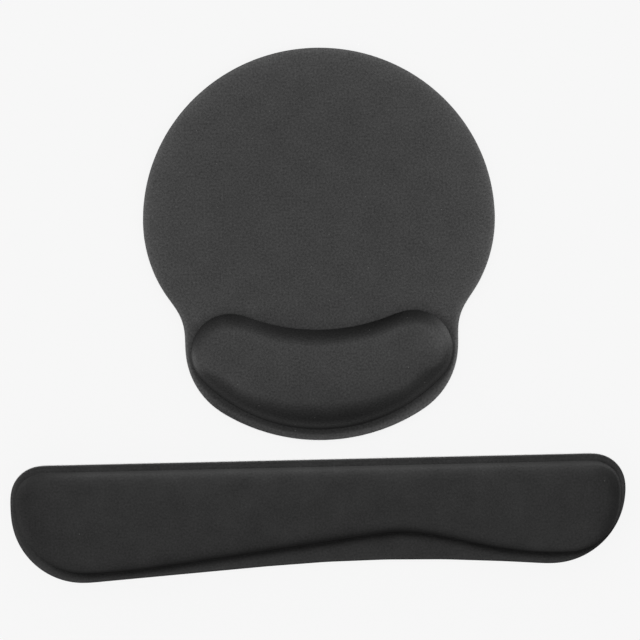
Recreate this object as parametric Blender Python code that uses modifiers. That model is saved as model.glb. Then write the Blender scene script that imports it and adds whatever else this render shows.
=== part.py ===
"""A wrist rest set for a desk, in dark knitted cloth.

The set is a long keyboard rest with a wavy front edge, and a round mouse pad with a bean-shaped wrist
cushion at its front. Each is a laminate: die-cut sheets, a shaped foam core, and one cloth cover that
lies flat on the rim and rises over the core. The two pieces are loose from each other on the desk.

Metres, +Z up, +Y away from the user. The origin is on the desk, under the middle of the set.
"""

import math
from dataclasses import dataclass
from typing import Callable

import bmesh
import bpy
from mathutils import Vector

# Keyboard rest, outline of its sheets: corners before rounding, depths taken from the straight rear edge
REST_LENGTH = 0.4313
REST_LEFT_DEPTH = 0.0863
REST_WAIST_DEPTH = 0.0679
REST_RIGHT_DEPTH = 0.0801
REST_WAIST_OFFSET = 0.0466
REST_REAR_RADIUS = 0.022
REST_LEFT_RADIUS = 0.0507
REST_WAIST_RADIUS = 1.17
REST_RIGHT_RADIUS = 0.0527

# Keyboard rest, rim of flat cloth: from the outline's corners to those of the cushion's foot
REST_RIM = 0.0049
REST_LEFT_RIM = 0.0092
REST_WAIST_RIM = 0.0187
REST_RIGHT_RIM = 0.0145
REST_WAIST_DRIFT = 0.0149

# Keyboard rest, cushion: the bends of its front lobes from its ends, the corner radii of its foot, and its
# rounding over each side
REST_LEFT_BEND = 0.0785
REST_LEFT_RISE = 0.0031
REST_RIGHT_BEND = 0.0656
REST_RIGHT_RISE = -0.0026
REST_LEFT_BEND_RADIUS = 0.45
REST_RIGHT_BEND_RADIUS = 0.242
REST_CUSHION_LEFT_RADIUS = 0.0493
REST_CUSHION_WAIST_RADIUS = 0.1195
REST_CUSHION_RIGHT_RADIUS = 0.0404
REST_CUSHION_HEIGHT = 0.0148
REST_CROWN = 0.0015
REST_REAR_RUN = 0.0105
REST_FRONT_RUN = 0.005
REST_END_RUN = 0.0125

# Mouse pad, outline of its sheets: a round pad, slightly flattened at the rear, a neck and two front lobes
PAD_RADIUS = 0.1233
PAD_REAR_REACH = 0.1201
PAD_CHEEK_RADIUS = 0.094
PAD_NECK_RADIUS = 0.0358
PAD_NECK_WIDTH = 0.1912
PAD_NECK_STRAIGHT = 0.0084
PAD_LOBE_RADIUS = 0.0543
PAD_FRONT_BOW = 0.012

# Mouse pad, bean cushion: its foot in tangent arcs, set in from the outline by a rim
BEAN_END_RIM = 0.0039
BEAN_FRONT_RIM = 0.0077
BEAN_SHOULDER_RADIUS = 0.0276
BEAN_HOLLOW = 0.0128
BEAN_BOW = 0.0272
BEAN_HEIGHT = 0.0165
BEAN_CROWN = 0.0022
BEAN_REAR_RUN = 0.0126
BEAN_FRONT_RUN = 0.021
BEAN_END_RUN = 0.015

# Sheets, by thickness
REST_BASE_THICKNESS = 0.002
PAD_BASE_THICKNESS = 0.0015
SPONGE_THICKNESS = 0.0012
FILM_THICKNESS = 0.0002
CLOTH_THICKNESS = 0.0008

# Clearances: between bonded flat sheets, and between the cloth and what it lies over
GLUE_LINE = 0.00005
CLOTH_GAP = 0.0003

# Places of the two pieces: the gap from the rest's rear edge to the pad, and the pad's shift to the right
SET_GAP = 0.01385
PAD_SHIFT = 0.005

# Fineness of the facets: how far a facet may leave its arc, the longest step on a straight, and the
# stations up the side of a cushion, in degrees, and over its crown, as shares of the way to its spine
ARC_ERROR = 0.0002
STRAIGHT_STEP = 0.045
SIDE_STATIONS = (0, 12, 28, 46, 66, 90)
CROWN_STATIONS = (0.35, 0.75)


@dataclass
class Cushion:
    """The form of a cushion: its foot, the spine that it crowns over, and its rounding."""

    foot: list[Vector]
    spine: Callable[[Vector], Vector]
    rear_run: float
    front_run: float
    end_run: float
    height: float
    crown: float


def arc(centre, radius, start, end):
    """Points on an arc from the angle start to the angle end, in radians, both ends included."""
    step = 2 * math.acos(1 - ARC_ERROR / radius)
    count = max(2, math.ceil(abs(end - start) / step))
    angles = [start + (end - start) * i / count for i in range(count + 1)]
    return [Vector((centre[0] + radius * math.cos(a), centre[1] + radius * math.sin(a))) for a in angles]


def with_straights(points):
    """The closed outline with its long straights split, and without points that coincide."""
    outline = []
    for here, after in zip(points, points[1:] + points[:1]):
        length = (after - here).length
        if length < ARC_ERROR:
            continue
        count = math.ceil(length / STRAIGHT_STEP)
        outline += [here.lerp(after, i / count) for i in range(count)]
    return outline


def rounded(corners):
    """A closed outline through corners (x, y, radius), each rounded by an arc that its sides can hold."""
    places = [Vector((x, y)) for x, y, _ in corners]
    sides = [(places[i - 1] - p, places[(i + 1) % len(places)] - p) for i, p in enumerate(places)]
    halves = [back.angle(ahead) / 2 for back, ahead in sides]
    reaches = [radius / math.tan(half) for (_, _, radius), half in zip(corners, halves)]
    points = []
    for i, (place, (back, ahead), half) in enumerate(zip(places, sides, halves)):
        room_back = back.length / (reaches[i] + reaches[i - 1])
        room_ahead = ahead.length / (reaches[i] + reaches[(i + 1) % len(reaches)])
        reach = reaches[i] * min(1, room_back, room_ahead)
        radius = reach * math.tan(half)
        middle = (back.normalized() + ahead.normalized()).normalized()
        centre = place + middle * radius / math.sin(half)
        first = place + back.normalized() * reach - centre
        last = place + ahead.normalized() * reach - centre
        start = math.atan2(first.y, first.x)
        turn = -first.angle_signed(last)
        points += arc(centre, radius, start, start + turn)
    return with_straights(points)


def mirrored(half):
    """A closed outline from its right half, which runs from the front to the rear on the middle line."""
    left = [Vector((-p.x, p.y)) for p in reversed(half)]
    return with_straights(half + left)


def rest_outline():
    """The keyboard rest's outline, from the middle of its rear edge."""
    half = REST_LENGTH / 2
    return rounded(
        [
            (-half, 0, REST_REAR_RADIUS),
            (-half, -REST_LEFT_DEPTH, REST_LEFT_RADIUS),
            (REST_WAIST_OFFSET, -REST_WAIST_DEPTH, REST_WAIST_RADIUS),
            (half, -REST_RIGHT_DEPTH, REST_RIGHT_RADIUS),
            (half, 0, REST_REAR_RADIUS),
        ]
    )


def rest_cushion():
    """The keyboard rest's cushion, set in from the outline by the rim."""
    half = REST_LENGTH / 2 - REST_RIM
    left = -REST_LEFT_DEPTH + REST_LEFT_RIM
    waist = -REST_WAIST_DEPTH + REST_WAIST_RIM
    right = -REST_RIGHT_DEPTH + REST_RIGHT_RIM
    waist_x = REST_WAIST_OFFSET + REST_WAIST_DRIFT
    rear_radius = max(REST_REAR_RADIUS - REST_RIM, REST_RIM)
    foot = rounded(
        [
            (-half, -REST_RIM, rear_radius),
            (-half, left, REST_CUSHION_LEFT_RADIUS),
            (-half + REST_LEFT_BEND, left + REST_LEFT_RISE, REST_LEFT_BEND_RADIUS),
            (waist_x, waist, REST_CUSHION_WAIST_RADIUS),
            (half - REST_RIGHT_BEND, right + REST_RIGHT_RISE, REST_RIGHT_BEND_RADIUS),
            (half, right, REST_CUSHION_RIGHT_RADIUS),
            (half, -REST_RIM, rear_radius),
        ]
    )
    mid_left = (left - REST_RIM) / 2
    mid_waist = (waist - REST_RIM) / 2
    mid_right = (right - REST_RIM) / 2
    spine_left = -half - mid_left - REST_RIM
    spine_right = half + mid_right + REST_RIM

    def spine(p):
        x = min(max(p.x, spine_left), spine_right)
        if x < waist_x:
            share = (x - spine_left) / (waist_x - spine_left)
            return Vector((x, mid_left + (mid_waist - mid_left) * share))
        share = (x - waist_x) / (spine_right - waist_x)
        return Vector((x, mid_waist + (mid_right - mid_waist) * share))

    return Cushion(
        foot, spine, REST_REAR_RUN, REST_FRONT_RUN, REST_END_RUN, REST_CUSHION_HEIGHT, REST_CROWN
    )


def pad_places():
    """The centres of the pad's neck and lobe arcs on the right, and the pad's reach to its front edge."""
    half_neck = PAD_NECK_WIDTH / 2
    neck_x = half_neck + PAD_NECK_RADIUS
    across = neck_x - (PAD_RADIUS - PAD_CHEEK_RADIUS)
    neck = Vector((neck_x, -math.sqrt((PAD_CHEEK_RADIUS + PAD_NECK_RADIUS) ** 2 - across**2)))
    lobe = Vector((half_neck - PAD_LOBE_RADIUS, neck.y - PAD_NECK_STRAIGHT))
    reach = -lobe.y + PAD_LOBE_RADIUS + PAD_FRONT_BOW
    return neck, lobe, reach


def front_arc(side, radius, bow):
    """The middle arc that meets two side arcs from inside and bows past them: its centre and radius.

    The side arcs have that radius, with their centres at side and its mirror image.
    """
    wide = (side.x**2 + bow**2 + 2 * bow * radius) / (2 * bow)
    return Vector((0, side.y - radius - bow + wide)), wide


def pad_outline():
    """The mouse pad's outline, from the middle of its widest line."""
    neck, lobe, _ = pad_places()
    front, front_radius = front_arc(lobe, PAD_LOBE_RADIUS, PAD_FRONT_BOW)
    cheek = Vector((PAD_RADIUS - PAD_CHEEK_RADIUS, 0))
    to_lobe = math.atan2(lobe.y - front.y, lobe.x - front.x)
    to_cheek = math.atan2(cheek.y - neck.y, cheek.x - neck.x)
    half = arc(front, front_radius, -math.pi / 2, to_lobe)
    half += arc(lobe, PAD_LOBE_RADIUS, to_lobe, 0)
    half += arc(neck, PAD_NECK_RADIUS, math.pi, to_cheek)
    half += arc(cheek, PAD_CHEEK_RADIUS, to_cheek - math.pi, 0)
    rear = arc((0, 0), PAD_RADIUS, 0, math.pi / 2)
    half += [Vector((p.x, p.y * PAD_REAR_REACH / PAD_RADIUS)) for p in rear]
    return mirrored(half)


def bean_cushion():
    """The bean cushion at the front of the mouse pad, in the pad's frame."""
    _, _, reach = pad_places()
    front_y = -reach + BEAN_FRONT_RIM
    shoulder = Vector(
        (
            PAD_NECK_WIDTH / 2 - BEAN_END_RIM - BEAN_SHOULDER_RADIUS,
            front_y + BEAN_BOW + BEAN_SHOULDER_RADIUS,
        )
    )
    front, front_radius = front_arc(shoulder, BEAN_SHOULDER_RADIUS, BEAN_BOW)
    rear_radius = (shoulder.x**2 + BEAN_HOLLOW**2) / (2 * BEAN_HOLLOW) - BEAN_SHOULDER_RADIUS
    rear_y = shoulder.y + BEAN_SHOULDER_RADIUS - BEAN_HOLLOW
    rear = Vector((0, rear_y + rear_radius))
    to_shoulder = math.atan2(shoulder.y - front.y, shoulder.x - front.x)
    to_rear = math.atan2(rear.y - shoulder.y, rear.x - shoulder.x)
    half = arc(front, front_radius, -math.pi / 2, to_shoulder)
    half += arc(shoulder, BEAN_SHOULDER_RADIUS, to_shoulder, to_rear)
    half += arc(rear, rear_radius, to_rear - math.pi, -math.pi / 2)
    middle_y = (front_y + rear_y) / 2

    def spine(p):
        x = min(max(p.x, -shoulder.x), shoulder.x)
        return Vector((x, middle_y + (shoulder.y - middle_y) * (x / shoulder.x) ** 2))

    return Cushion(
        mirrored(half), spine, BEAN_REAR_RUN, BEAN_FRONT_RUN, BEAN_END_RUN, BEAN_HEIGHT, BEAN_CROWN
    )


def side_point(run, height, degrees, depth):
    """The inset and rise of a station on a rounded side, moved inwards by depth, square to the side."""
    angle = math.radians(degrees)
    square = Vector((height * math.cos(angle), -run * math.sin(angle))).normalized()
    return Vector((run * (1 - math.cos(angle)), height * math.sin(angle))) + square * depth


def cushion_rings(cushion, level, depth):
    """The rings of a cushion from its foot to its crown, moved inwards by depth, with its foot at level."""
    spines = [cushion.spine(p) for p in cushion.foot]
    inwards = [(s - p).normalized() for s, p in zip(spines, cushion.foot)]
    rings = []
    for degrees in SIDE_STATIONS:
        ring = []
        for p, inward in zip(cushion.foot, inwards):
            run = cushion.end_run * inward.x**2
            run += (cushion.rear_run if inward.y < 0 else cushion.front_run) * inward.y**2
            inset, rise = side_point(run, cushion.height, degrees, depth)
            ring.append((p + inward * inset).to_3d() + Vector((0, 0, level + rise)))
        rings.append(ring)
    shoulder = rings[-1]
    for share in CROWN_STATIONS:
        top = level + cushion.height - depth + cushion.crown * (1 - (1 - share) ** 2)
        flat = [q.to_2d().lerp(s, share) for q, s in zip(shoulder, spines)]
        rings.append([Vector((p.x, p.y, top)) for p in flat])
    return rings


def loft(bm, rings):
    """Skins the rings in order, closes the last one, and returns the loops of points."""
    loops = [[bm.verts.new(p) for p in ring] for ring in rings]
    for low, high in zip(loops, loops[1:]):
        for i in range(len(low)):
            bm.faces.new((low[i - 1], low[i], high[i], high[i - 1]))
    bm.faces.new(loops[-1])
    return loops


def closed_edges(bm, loop):
    """The edges round a loop of points, made where they aren't there yet."""
    pairs = [(loop[i - 1], loop[i]) for i in range(len(loop))]
    return [bm.edges.get(pair) or bm.edges.new(pair) for pair in pairs]


def finish(name, bm, material, parent):
    """Makes the object of a finished mesh, smooth shaded with sharp creases kept."""
    mesh = bpy.data.meshes.new(name)
    bm.to_mesh(mesh)
    bm.free()
    mesh.shade_smooth()
    mesh.set_sharp_from_angle(angle=math.radians(35))
    return place(name, mesh, material, parent)


def place(name, data, material, parent):
    """Puts an object of that data in the set, under the empty of its piece."""
    data.materials.append(material)
    item = bpy.data.objects.new(name, data)
    item.parent = parent
    bpy.data.collections[SET_NAME].objects.link(item)
    return item


def sheet(name, outline, low, thickness, material, parent):
    """A die-cut flat sheet with that outline, and returns the height of its top."""
    curve = bpy.data.curves.new(name, "CURVE")
    curve.dimensions = "2D"
    curve.fill_mode = "BOTH"
    curve.extrude = thickness / 2
    spline = curve.splines.new("POLY")
    spline.points.add(len(outline) - 1)
    for point, p in zip(spline.points, outline):
        point.co = (p.x, p.y, 0, 1)
    spline.use_cyclic_u = True
    item = place(name, curve, material, parent)
    item.location.z = low + thickness / 2
    return low + thickness


def foam_core(name, cushion, low, rim_top, material, parent):
    """The foam core, which stands on the film at low and fills the cover's cushion."""
    rings = cushion_rings(cushion, rim_top, CLOTH_THICKNESS + CLOTH_GAP)
    foot = [Vector((p.x, p.y, low)) for p in rings[0]]
    bm = bmesh.new()
    loops = loft(bm, [foot, *rings])
    bm.faces.new(reversed(loops[0]))
    return finish(name, bm, material, parent)


def cloth_cover(name, outline, cushion, rim_top, material, parent):
    """The cloth cover: one sheet over the flat rim and the cushion, with its thickness turned inwards."""
    bm = bmesh.new()
    loops = loft(bm, cushion_rings(cushion, rim_top, 0))
    edge = [bm.verts.new((p.x, p.y, rim_top)) for p in outline]
    rim = closed_edges(bm, loops[0]) + closed_edges(bm, edge)
    bmesh.ops.triangle_fill(bm, edges=rim, use_beauty=True, use_dissolve=False, normal=(0, 0, 1))
    bmesh.ops.recalc_face_normals(bm, faces=bm.faces)
    if sum(face.normal.z for face in bm.faces) < 0:
        bmesh.ops.reverse_faces(bm, faces=bm.faces)
    item = finish(name, bm, material, parent)
    wall = item.modifiers.new("cloth", "SOLIDIFY")
    wall.thickness = CLOTH_THICKNESS
    wall.offset = -1
    wall.use_even_offset = True
    wall.use_quality_normals = True
    return item


def finish_of(name, colour, roughness):
    """A plain material of that colour and roughness."""
    material = bpy.data.materials.new(name)
    material.use_nodes = True
    shader = material.node_tree.nodes["Principled BSDF"]
    shader.inputs["Base Color"].default_value = (*colour, 1)
    shader.inputs["Roughness"].default_value = roughness
    shader.inputs["Metallic"].default_value = 0
    return material


def piece_empty(name, x, y):
    """The empty that carries one loose piece of the set, on the desk."""
    empty = bpy.data.objects.new(name, None)
    empty.location = (x, y, 0)
    bpy.data.collections[SET_NAME].objects.link(empty)
    return empty


def keyboard_rest(rear_edge, outline):
    """The keyboard rest: rubber base, adhesive film, foam core and cloth cover."""
    parent = piece_empty("keyboard_rest", 0, rear_edge)
    rubber = finish_of("keyboard_rest_rubber", (0.018, 0.018, 0.019), 0.75)
    glue = finish_of("keyboard_rest_adhesive", (0.62, 0.58, 0.47), 0.45)
    foam = finish_of("keyboard_rest_foam_core", (0.72, 0.68, 0.55), 0.9)
    cloth = finish_of("keyboard_rest_cloth", (0.034, 0.034, 0.036), 0.85)
    cushion = rest_cushion()
    top = sheet("keyboard_rest_base", outline, 0, REST_BASE_THICKNESS, rubber, parent)
    top = sheet("keyboard_rest_film", outline, top + GLUE_LINE, FILM_THICKNESS, glue, parent)
    rim_top = top + CLOTH_GAP + CLOTH_THICKNESS
    foam_core("keyboard_rest_foam", cushion, top + GLUE_LINE, rim_top, foam, parent)
    cloth_cover("keyboard_rest_cover", outline, cushion, rim_top, cloth, parent)


def mouse_rest(pad_centre):
    """The mouse rest: rubber base, sponge sheet between two films, foam core and cloth cover."""
    parent = piece_empty("mouse_rest", PAD_SHIFT, pad_centre)
    rubber = finish_of("mouse_pad_rubber", (0.018, 0.018, 0.019), 0.75)
    glue = finish_of("mouse_pad_adhesive", (0.62, 0.58, 0.47), 0.45)
    sponge = finish_of("mouse_pad_sponge_sheet", (0.03, 0.03, 0.03), 0.95)
    foam = finish_of("mouse_rest_foam_core", (0.72, 0.68, 0.55), 0.9)
    cloth = finish_of("mouse_rest_cloth", (0.047, 0.047, 0.049), 0.85)
    outline = pad_outline()
    cushion = bean_cushion()
    top = sheet("mouse_pad_base", outline, 0, PAD_BASE_THICKNESS, rubber, parent)
    top = sheet("mouse_pad_lower_film", outline, top + GLUE_LINE, FILM_THICKNESS, glue, parent)
    top = sheet("mouse_pad_sponge", outline, top + GLUE_LINE, SPONGE_THICKNESS, sponge, parent)
    top = sheet("mouse_pad_upper_film", outline, top + GLUE_LINE, FILM_THICKNESS, glue, parent)
    rim_top = top + CLOTH_GAP + CLOTH_THICKNESS
    foam_core("mouse_rest_foam", cushion, top + GLUE_LINE, rim_top, foam, parent)
    cloth_cover("mouse_rest_cover", outline, cushion, rim_top, cloth, parent)


SET_NAME = "wrist_rest_set"


def main():
    """Clears the scene and models the set, centred on the origin."""
    for item in list(bpy.data.objects):
        bpy.data.objects.remove(item)
    bpy.context.scene.collection.children.link(bpy.data.collections.new(SET_NAME))
    outline = rest_outline()
    rest_front = -min(p.y for p in outline)
    _, _, pad_reach = pad_places()
    set_depth = rest_front + SET_GAP + pad_reach + PAD_REAR_REACH
    rear_edge = rest_front - set_depth / 2
    keyboard_rest(rear_edge, outline)
    mouse_rest(rear_edge + SET_GAP + pad_reach)


main()
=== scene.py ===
"""Looks of a wrist rest set: a long keyboard rest and a round mouse pad with a bean-shaped cushion.

Both are laminates under one stretch-knit cover each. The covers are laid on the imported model's own
outlines, swelled by a short cloth simulation, and given their thickness. Metres, +Z up.
"""

import logging
import math
from dataclasses import dataclass, replace
from enum import Enum
from typing import Any, Callable, Iterable, Sequence, Union

import bmesh
import bpy
import numpy as np
from bmesh.types import BMFace, BMVert
from bpy.types import Collection, Material, Mesh, MeshPolygon, Node, NodeSocket, Object
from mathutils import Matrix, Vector
from mathutils.geometry import delaunay_2d_cdt


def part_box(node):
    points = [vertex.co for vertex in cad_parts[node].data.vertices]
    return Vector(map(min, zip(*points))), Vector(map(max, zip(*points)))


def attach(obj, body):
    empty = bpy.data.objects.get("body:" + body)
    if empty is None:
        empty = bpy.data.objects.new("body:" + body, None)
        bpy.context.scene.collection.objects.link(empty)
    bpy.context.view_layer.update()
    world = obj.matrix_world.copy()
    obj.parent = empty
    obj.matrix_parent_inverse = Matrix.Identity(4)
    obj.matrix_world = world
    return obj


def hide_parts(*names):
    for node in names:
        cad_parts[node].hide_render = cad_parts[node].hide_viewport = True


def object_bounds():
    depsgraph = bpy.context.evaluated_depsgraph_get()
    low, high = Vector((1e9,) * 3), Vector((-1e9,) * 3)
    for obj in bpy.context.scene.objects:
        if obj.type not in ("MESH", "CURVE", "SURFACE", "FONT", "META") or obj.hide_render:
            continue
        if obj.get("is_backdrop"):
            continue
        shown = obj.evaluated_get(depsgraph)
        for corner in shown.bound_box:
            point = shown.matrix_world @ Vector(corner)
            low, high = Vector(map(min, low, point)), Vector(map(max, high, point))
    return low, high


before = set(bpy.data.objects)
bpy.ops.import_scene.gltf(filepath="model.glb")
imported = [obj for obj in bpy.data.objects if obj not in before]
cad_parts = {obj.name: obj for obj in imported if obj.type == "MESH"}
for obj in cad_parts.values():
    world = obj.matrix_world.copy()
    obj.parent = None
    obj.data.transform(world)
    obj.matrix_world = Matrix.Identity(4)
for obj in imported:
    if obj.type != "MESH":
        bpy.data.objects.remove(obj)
CAD_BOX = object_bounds()

LOG = logging.getLogger("wrist_rest_set")
KNIT_UV = "knit"
# Vertex attribute that holds the cloth's painted shade and painted highlight
PAINTED_SHADING = "painted_shading"
HELD_GROUP = "held"

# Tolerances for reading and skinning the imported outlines
MICRON_DECIMALS = 6
FLAT_NORMAL = 0.999
LEVEL_ERROR = 1e-5
MERGE_ERROR = 1e-7
NEVER_ZERO = 1e-12

# Half width of the smoothing kernel in its own widths, how clear of a loop scattered points keep, as a share
# of their pitch, and from which share of its normal on a point of a foot faces the front
KERNEL_WIDTHS = 4
CLEARANCE = 0.6
FRONT_FACING = 0.7

# Sharpest angles that are shaded smooth, and the angle of a cut edge, in degrees
CLOTH_SMOOTH = 60
FOAM_SMOOTH = 50
SHEET_SMOOTH = 40
CUT_EDGE = 60

Colour = tuple[float, float, float]
Place = tuple[float, float, float]
Operand = Union["Field", float]


class Maths(Enum):
    """The Math node's operations that the finishes use."""

    ADD = "ADD"
    SUBTRACT = "SUBTRACT"
    MULTIPLY = "MULTIPLY"
    DIVIDE = "DIVIDE"
    POWER = "POWER"
    SINE = "SINE"
    ABSOLUTE = "ABSOLUTE"
    FRACTION = "FRACT"
    LESS = "LESS_THAN"
    GREATER = "GREATER_THAN"


def operator(operation: Maths, swapped: bool = False) -> Callable[..., "Field"]:
    """A method of a field that adds a Math node.

    Args:
        operation: the node's operation.
        swapped: whether the field comes after the other value.

    Returns:
        The method.
    """

    def method(field: "Field", *others: Operand) -> "Field":
        """Adds the node on the field and the other value, if there is one."""
        return field.graph.maths(operation, *((*others, field) if swapped else (field, *others)))

    return method


class Field:
    """A number that varies over a surface: a socket on which Python's operators add Math nodes.

    The comparisons give 1 where they hold, and otherwise 0. The sine takes radians.
    """

    def __init__(self, graph: "Graph", socket: NodeSocket) -> None:
        """Wraps a socket of a graph."""
        self.graph = graph
        self.socket = socket

    __add__ = __radd__ = operator(Maths.ADD)
    __sub__ = operator(Maths.SUBTRACT)
    __rsub__ = operator(Maths.SUBTRACT, swapped=True)
    __mul__ = operator(Maths.MULTIPLY)
    __truediv__ = operator(Maths.DIVIDE)
    __pow__ = operator(Maths.POWER)
    __lt__ = operator(Maths.LESS)
    __gt__ = operator(Maths.GREATER)
    sine = operator(Maths.SINE)
    absolute = operator(Maths.ABSOLUTE)
    fraction = operator(Maths.FRACTION)


class Graph:
    """The node tree of one finish, with its Principled shader."""

    def __init__(self, name: str) -> None:
        """Makes the material and its empty tree.

        Args:
            name: the material's name.
        """
        self.material = bpy.data.materials.new(name)
        self.material.use_nodes = True
        self.tree = self.material.node_tree
        self.shader = self.tree.nodes["Principled BSDF"]

    def node(self, kind: str, settings: dict[str, Any] | None = None, **inputs: Any) -> Node:
        """Adds a node.

        Args:
            kind: the node's type.
            settings: the properties to set first.
            inputs: values, sockets or fields by the input's name, with _ for a space.

        Returns:
            The node.
        """
        made = self.tree.nodes.new(kind)
        for key, value in (settings or {}).items():
            setattr(made, key, value)
        for key, value in inputs.items():
            self.feed(made.inputs[key.replace("_", " ")], value)
        return made

    def feed(self, socket: NodeSocket, value: Any) -> None:
        """Links a field or socket to an input, or sets a plain value on it."""
        if isinstance(value, Field):
            value = value.socket
        if isinstance(value, NodeSocket):
            self.tree.links.new(value, socket)
        else:
            socket.default_value = value

    def maths(self, operation: Maths, *operands: Operand) -> Field:
        """Adds a Math node and returns its result."""
        made = self.node("ShaderNodeMath", {"operation": operation.value})
        for socket, operand in zip(made.inputs, operands):
            self.feed(socket, operand)
        return Field(self, made.outputs[0])

    def own_place(self) -> NodeSocket:
        """The coordinates of the piece itself."""
        return self.node("ShaderNodeTexCoord").outputs["Object"]

    def split(self, vector: NodeSocket) -> tuple[Field, Field, Field]:
        """The three components of a vector."""
        made = self.node("ShaderNodeSeparateXYZ", Vector=vector)
        return tuple(Field(self, socket) for socket in made.outputs)

    def noise(self, place: NodeSocket, size: float, detail: float) -> Field:
        """Soft noise.

        Args:
            place: the coordinates.
            size: the size of its grains, in the coordinates' unit.
            detail: the octaves.

        Returns:
            The noise, from about 0 to 1 around a half.
        """
        made = self.node("ShaderNodeTexNoise", Vector=place, Scale=1 / size, Detail=detail)
        return Field(self, made.outputs["Fac"])

    def cells(self, place: NodeSocket, size: float, space: str = "3D") -> tuple[Field, Field]:
        """Scattered points: the distance to the nearest one, in cells, and a random number for it."""
        settings = {"voronoi_dimensions": space}
        made = self.node("ShaderNodeTexVoronoi", settings, Vector=place, Scale=1 / size)
        return Field(self, made.outputs["Distance"]), self.split(made.outputs["Color"])[0]

    def blend(self, share: Operand, low: Any, high: Any) -> NodeSocket:
        """A colour between two colours by a share, or past them where it is under 0 or over 1."""
        made = self.node("ShaderNodeMix", {"data_type": "RGBA", "clamp_factor": False})
        for socket, value in zip((made.inputs[0], made.inputs[6], made.inputs[7]), (share, low, high)):
            self.feed(socket, value)
        return made.outputs[2]

    def bump(self, height: Field, depth: float) -> None:
        """Feeds the shader's normal with a height field of that depth, in metres."""
        made = self.node("ShaderNodeBump", Strength=1.0, Distance=depth, Height=height)
        self.feed(self.shader.inputs["Normal"], made.outputs["Normal"])

    def set(self, **inputs: Any) -> None:
        """Sets or links the shader's inputs by name, with _ for a space."""
        for key, value in inputs.items():
            self.feed(self.shader.inputs[key.replace("_", " ")], value)


def tint(colour: Colour, times: float) -> tuple[float, float, float, float]:
    """A colour made lighter or darker by a factor, as the shader takes it."""
    return (*(part * times for part in colour), 1.0)


@dataclass(frozen=True)
class KnitCloth:
    """Fine stretch knit: rows of stitches, a brushed grain, stray lint, and painted shade and highlight from
    a vertex attribute.
    """

    name: str
    colour: Colour
    wale: float = 0.00072
    course: float = 0.00056
    grain: float = 0.0014
    fibre: float = 0.0004
    mottle: float = 0.018
    mottling: float = 0.3
    lint_spacing: float = 0.04
    lint_radius: float = 0.00025
    lint_rarity: float = 0.84
    lint_cover: float = 0.48
    lint_colour: Colour = (0.24, 0.24, 0.235)
    contrast: float = 0.53
    shade_paint: float = 0.5
    shade_tint: float = 0.05
    relief: float = 0.00012
    sheen: float = 0.015

    def material(self) -> Material:
        """The cloth's material, on the knit map of the piece."""
        graph = Graph(self.name)
        place = graph.node("ShaderNodeUVMap", {"uv_map": KNIT_UV}).outputs["UV"]
        across, along, _ = graph.split(place)
        arm = ((across / self.wale).fraction() - 0.5).absolute() * 2
        row = along / self.course + arm * 0.5
        stitch = (row * math.tau).sine() * 0.5 + 0.5
        yarn = stitch * (1 - arm**3)
        grain = graph.noise(place, self.grain, 3)
        fibre = graph.noise(place, self.fibre, 2)
        mottle = graph.noise(place, self.mottle, 3)
        near, chance = graph.cells(place, self.lint_spacing, "2D")
        lint = (near < self.lint_radius / self.lint_spacing) * (chance > self.lint_rarity)
        shade = grain * 1.3 + fibre * 0.3 + (mottle - 0.5) * self.mottling + yarn * 0.2 - 0.37
        dark, pale = (tint(self.colour, 1 + way * self.contrast) for way in (-1, 1))
        cloth = graph.blend(shade, dark, pale)
        # Painted shade and highlight: the vertex attribute darkens the cloth where shade falls on the
        # cushions' sides and creases, and lightens it for painted highlights and the painted glow along the
        # edge
        mark = graph.node("ShaderNodeAttribute", {"attribute_name": PAINTED_SHADING})
        painted_shading = Field(graph, mark.outputs["Fac"])
        painted_cloth = graph.blend(painted_shading * self.shade_paint, cloth, tint(self.colour, self.shade_tint))
        worn = graph.blend(lint * self.lint_cover, painted_cloth, tint(self.lint_colour, 1.0))
        graph.set(
            Base_Color=worn,
            Roughness=0.74 + fibre * 0.2,
            Specular_IOR_Level=0.0,
            Sheen_Weight=self.sheen,
            Sheen_Roughness=0.45,
        )
        graph.bump(yarn * 0.7 + grain * 0.5 + fibre * 0.4, self.relief)
        return graph.material


@dataclass(frozen=True)
class NonSlipRubber:
    """Black rubber sheet: a fine lattice of dimples from its mould, mould bloom and a dusty grain."""

    name: str
    colour: Colour
    pitch: float = 0.0024
    bloom: float = 0.03
    grain: float = 0.0005
    relief: float = 0.00018

    def material(self) -> Material:
        """The rubber's material, on the piece's own coordinates."""
        graph = Graph(self.name)
        place = graph.own_place()
        across, along, _ = graph.split(place)
        wave = math.tau / self.pitch
        lattice = (across * wave).sine() * (along * wave).sine()
        bloom = graph.noise(place, self.bloom, 4)
        grain = graph.noise(place, self.grain, 2)
        shade = bloom * 0.6 + grain * 0.4
        graph.set(
            Base_Color=graph.blend(shade, tint(self.colour, 0.6), tint(self.colour, 1.5)),
            Roughness=0.62 + bloom * 0.22,
            Specular_IOR_Level=0.35,
        )
        graph.bump(lattice * 0.8 + grain * 0.3, self.relief)
        return graph.material


@dataclass(frozen=True)
class CellFoam:
    """Foam with open cells: pores of two sizes in a matt skin."""

    name: str
    colour: Colour
    pore: float
    depth: float = 0.0003

    def material(self) -> Material:
        """The foam's material, on the piece's own coordinates."""
        graph = Graph(self.name)
        place = graph.own_place()
        large, chance = graph.cells(place, self.pore)
        small, _ = graph.cells(place, self.pore * 0.4)
        tone = graph.noise(place, self.pore * 12, 3)
        skin = large * 0.7 + small * 0.3
        shade = skin * 0.55 + chance * 0.15 + tone * 0.3
        graph.set(
            Base_Color=graph.blend(shade, tint(self.colour, 0.72), tint(self.colour, 1.12)),
            Roughness=0.86 + tone * 0.12,
            Specular_IOR_Level=0.2,
        )
        graph.bump(skin, self.depth)
        return graph.material


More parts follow.
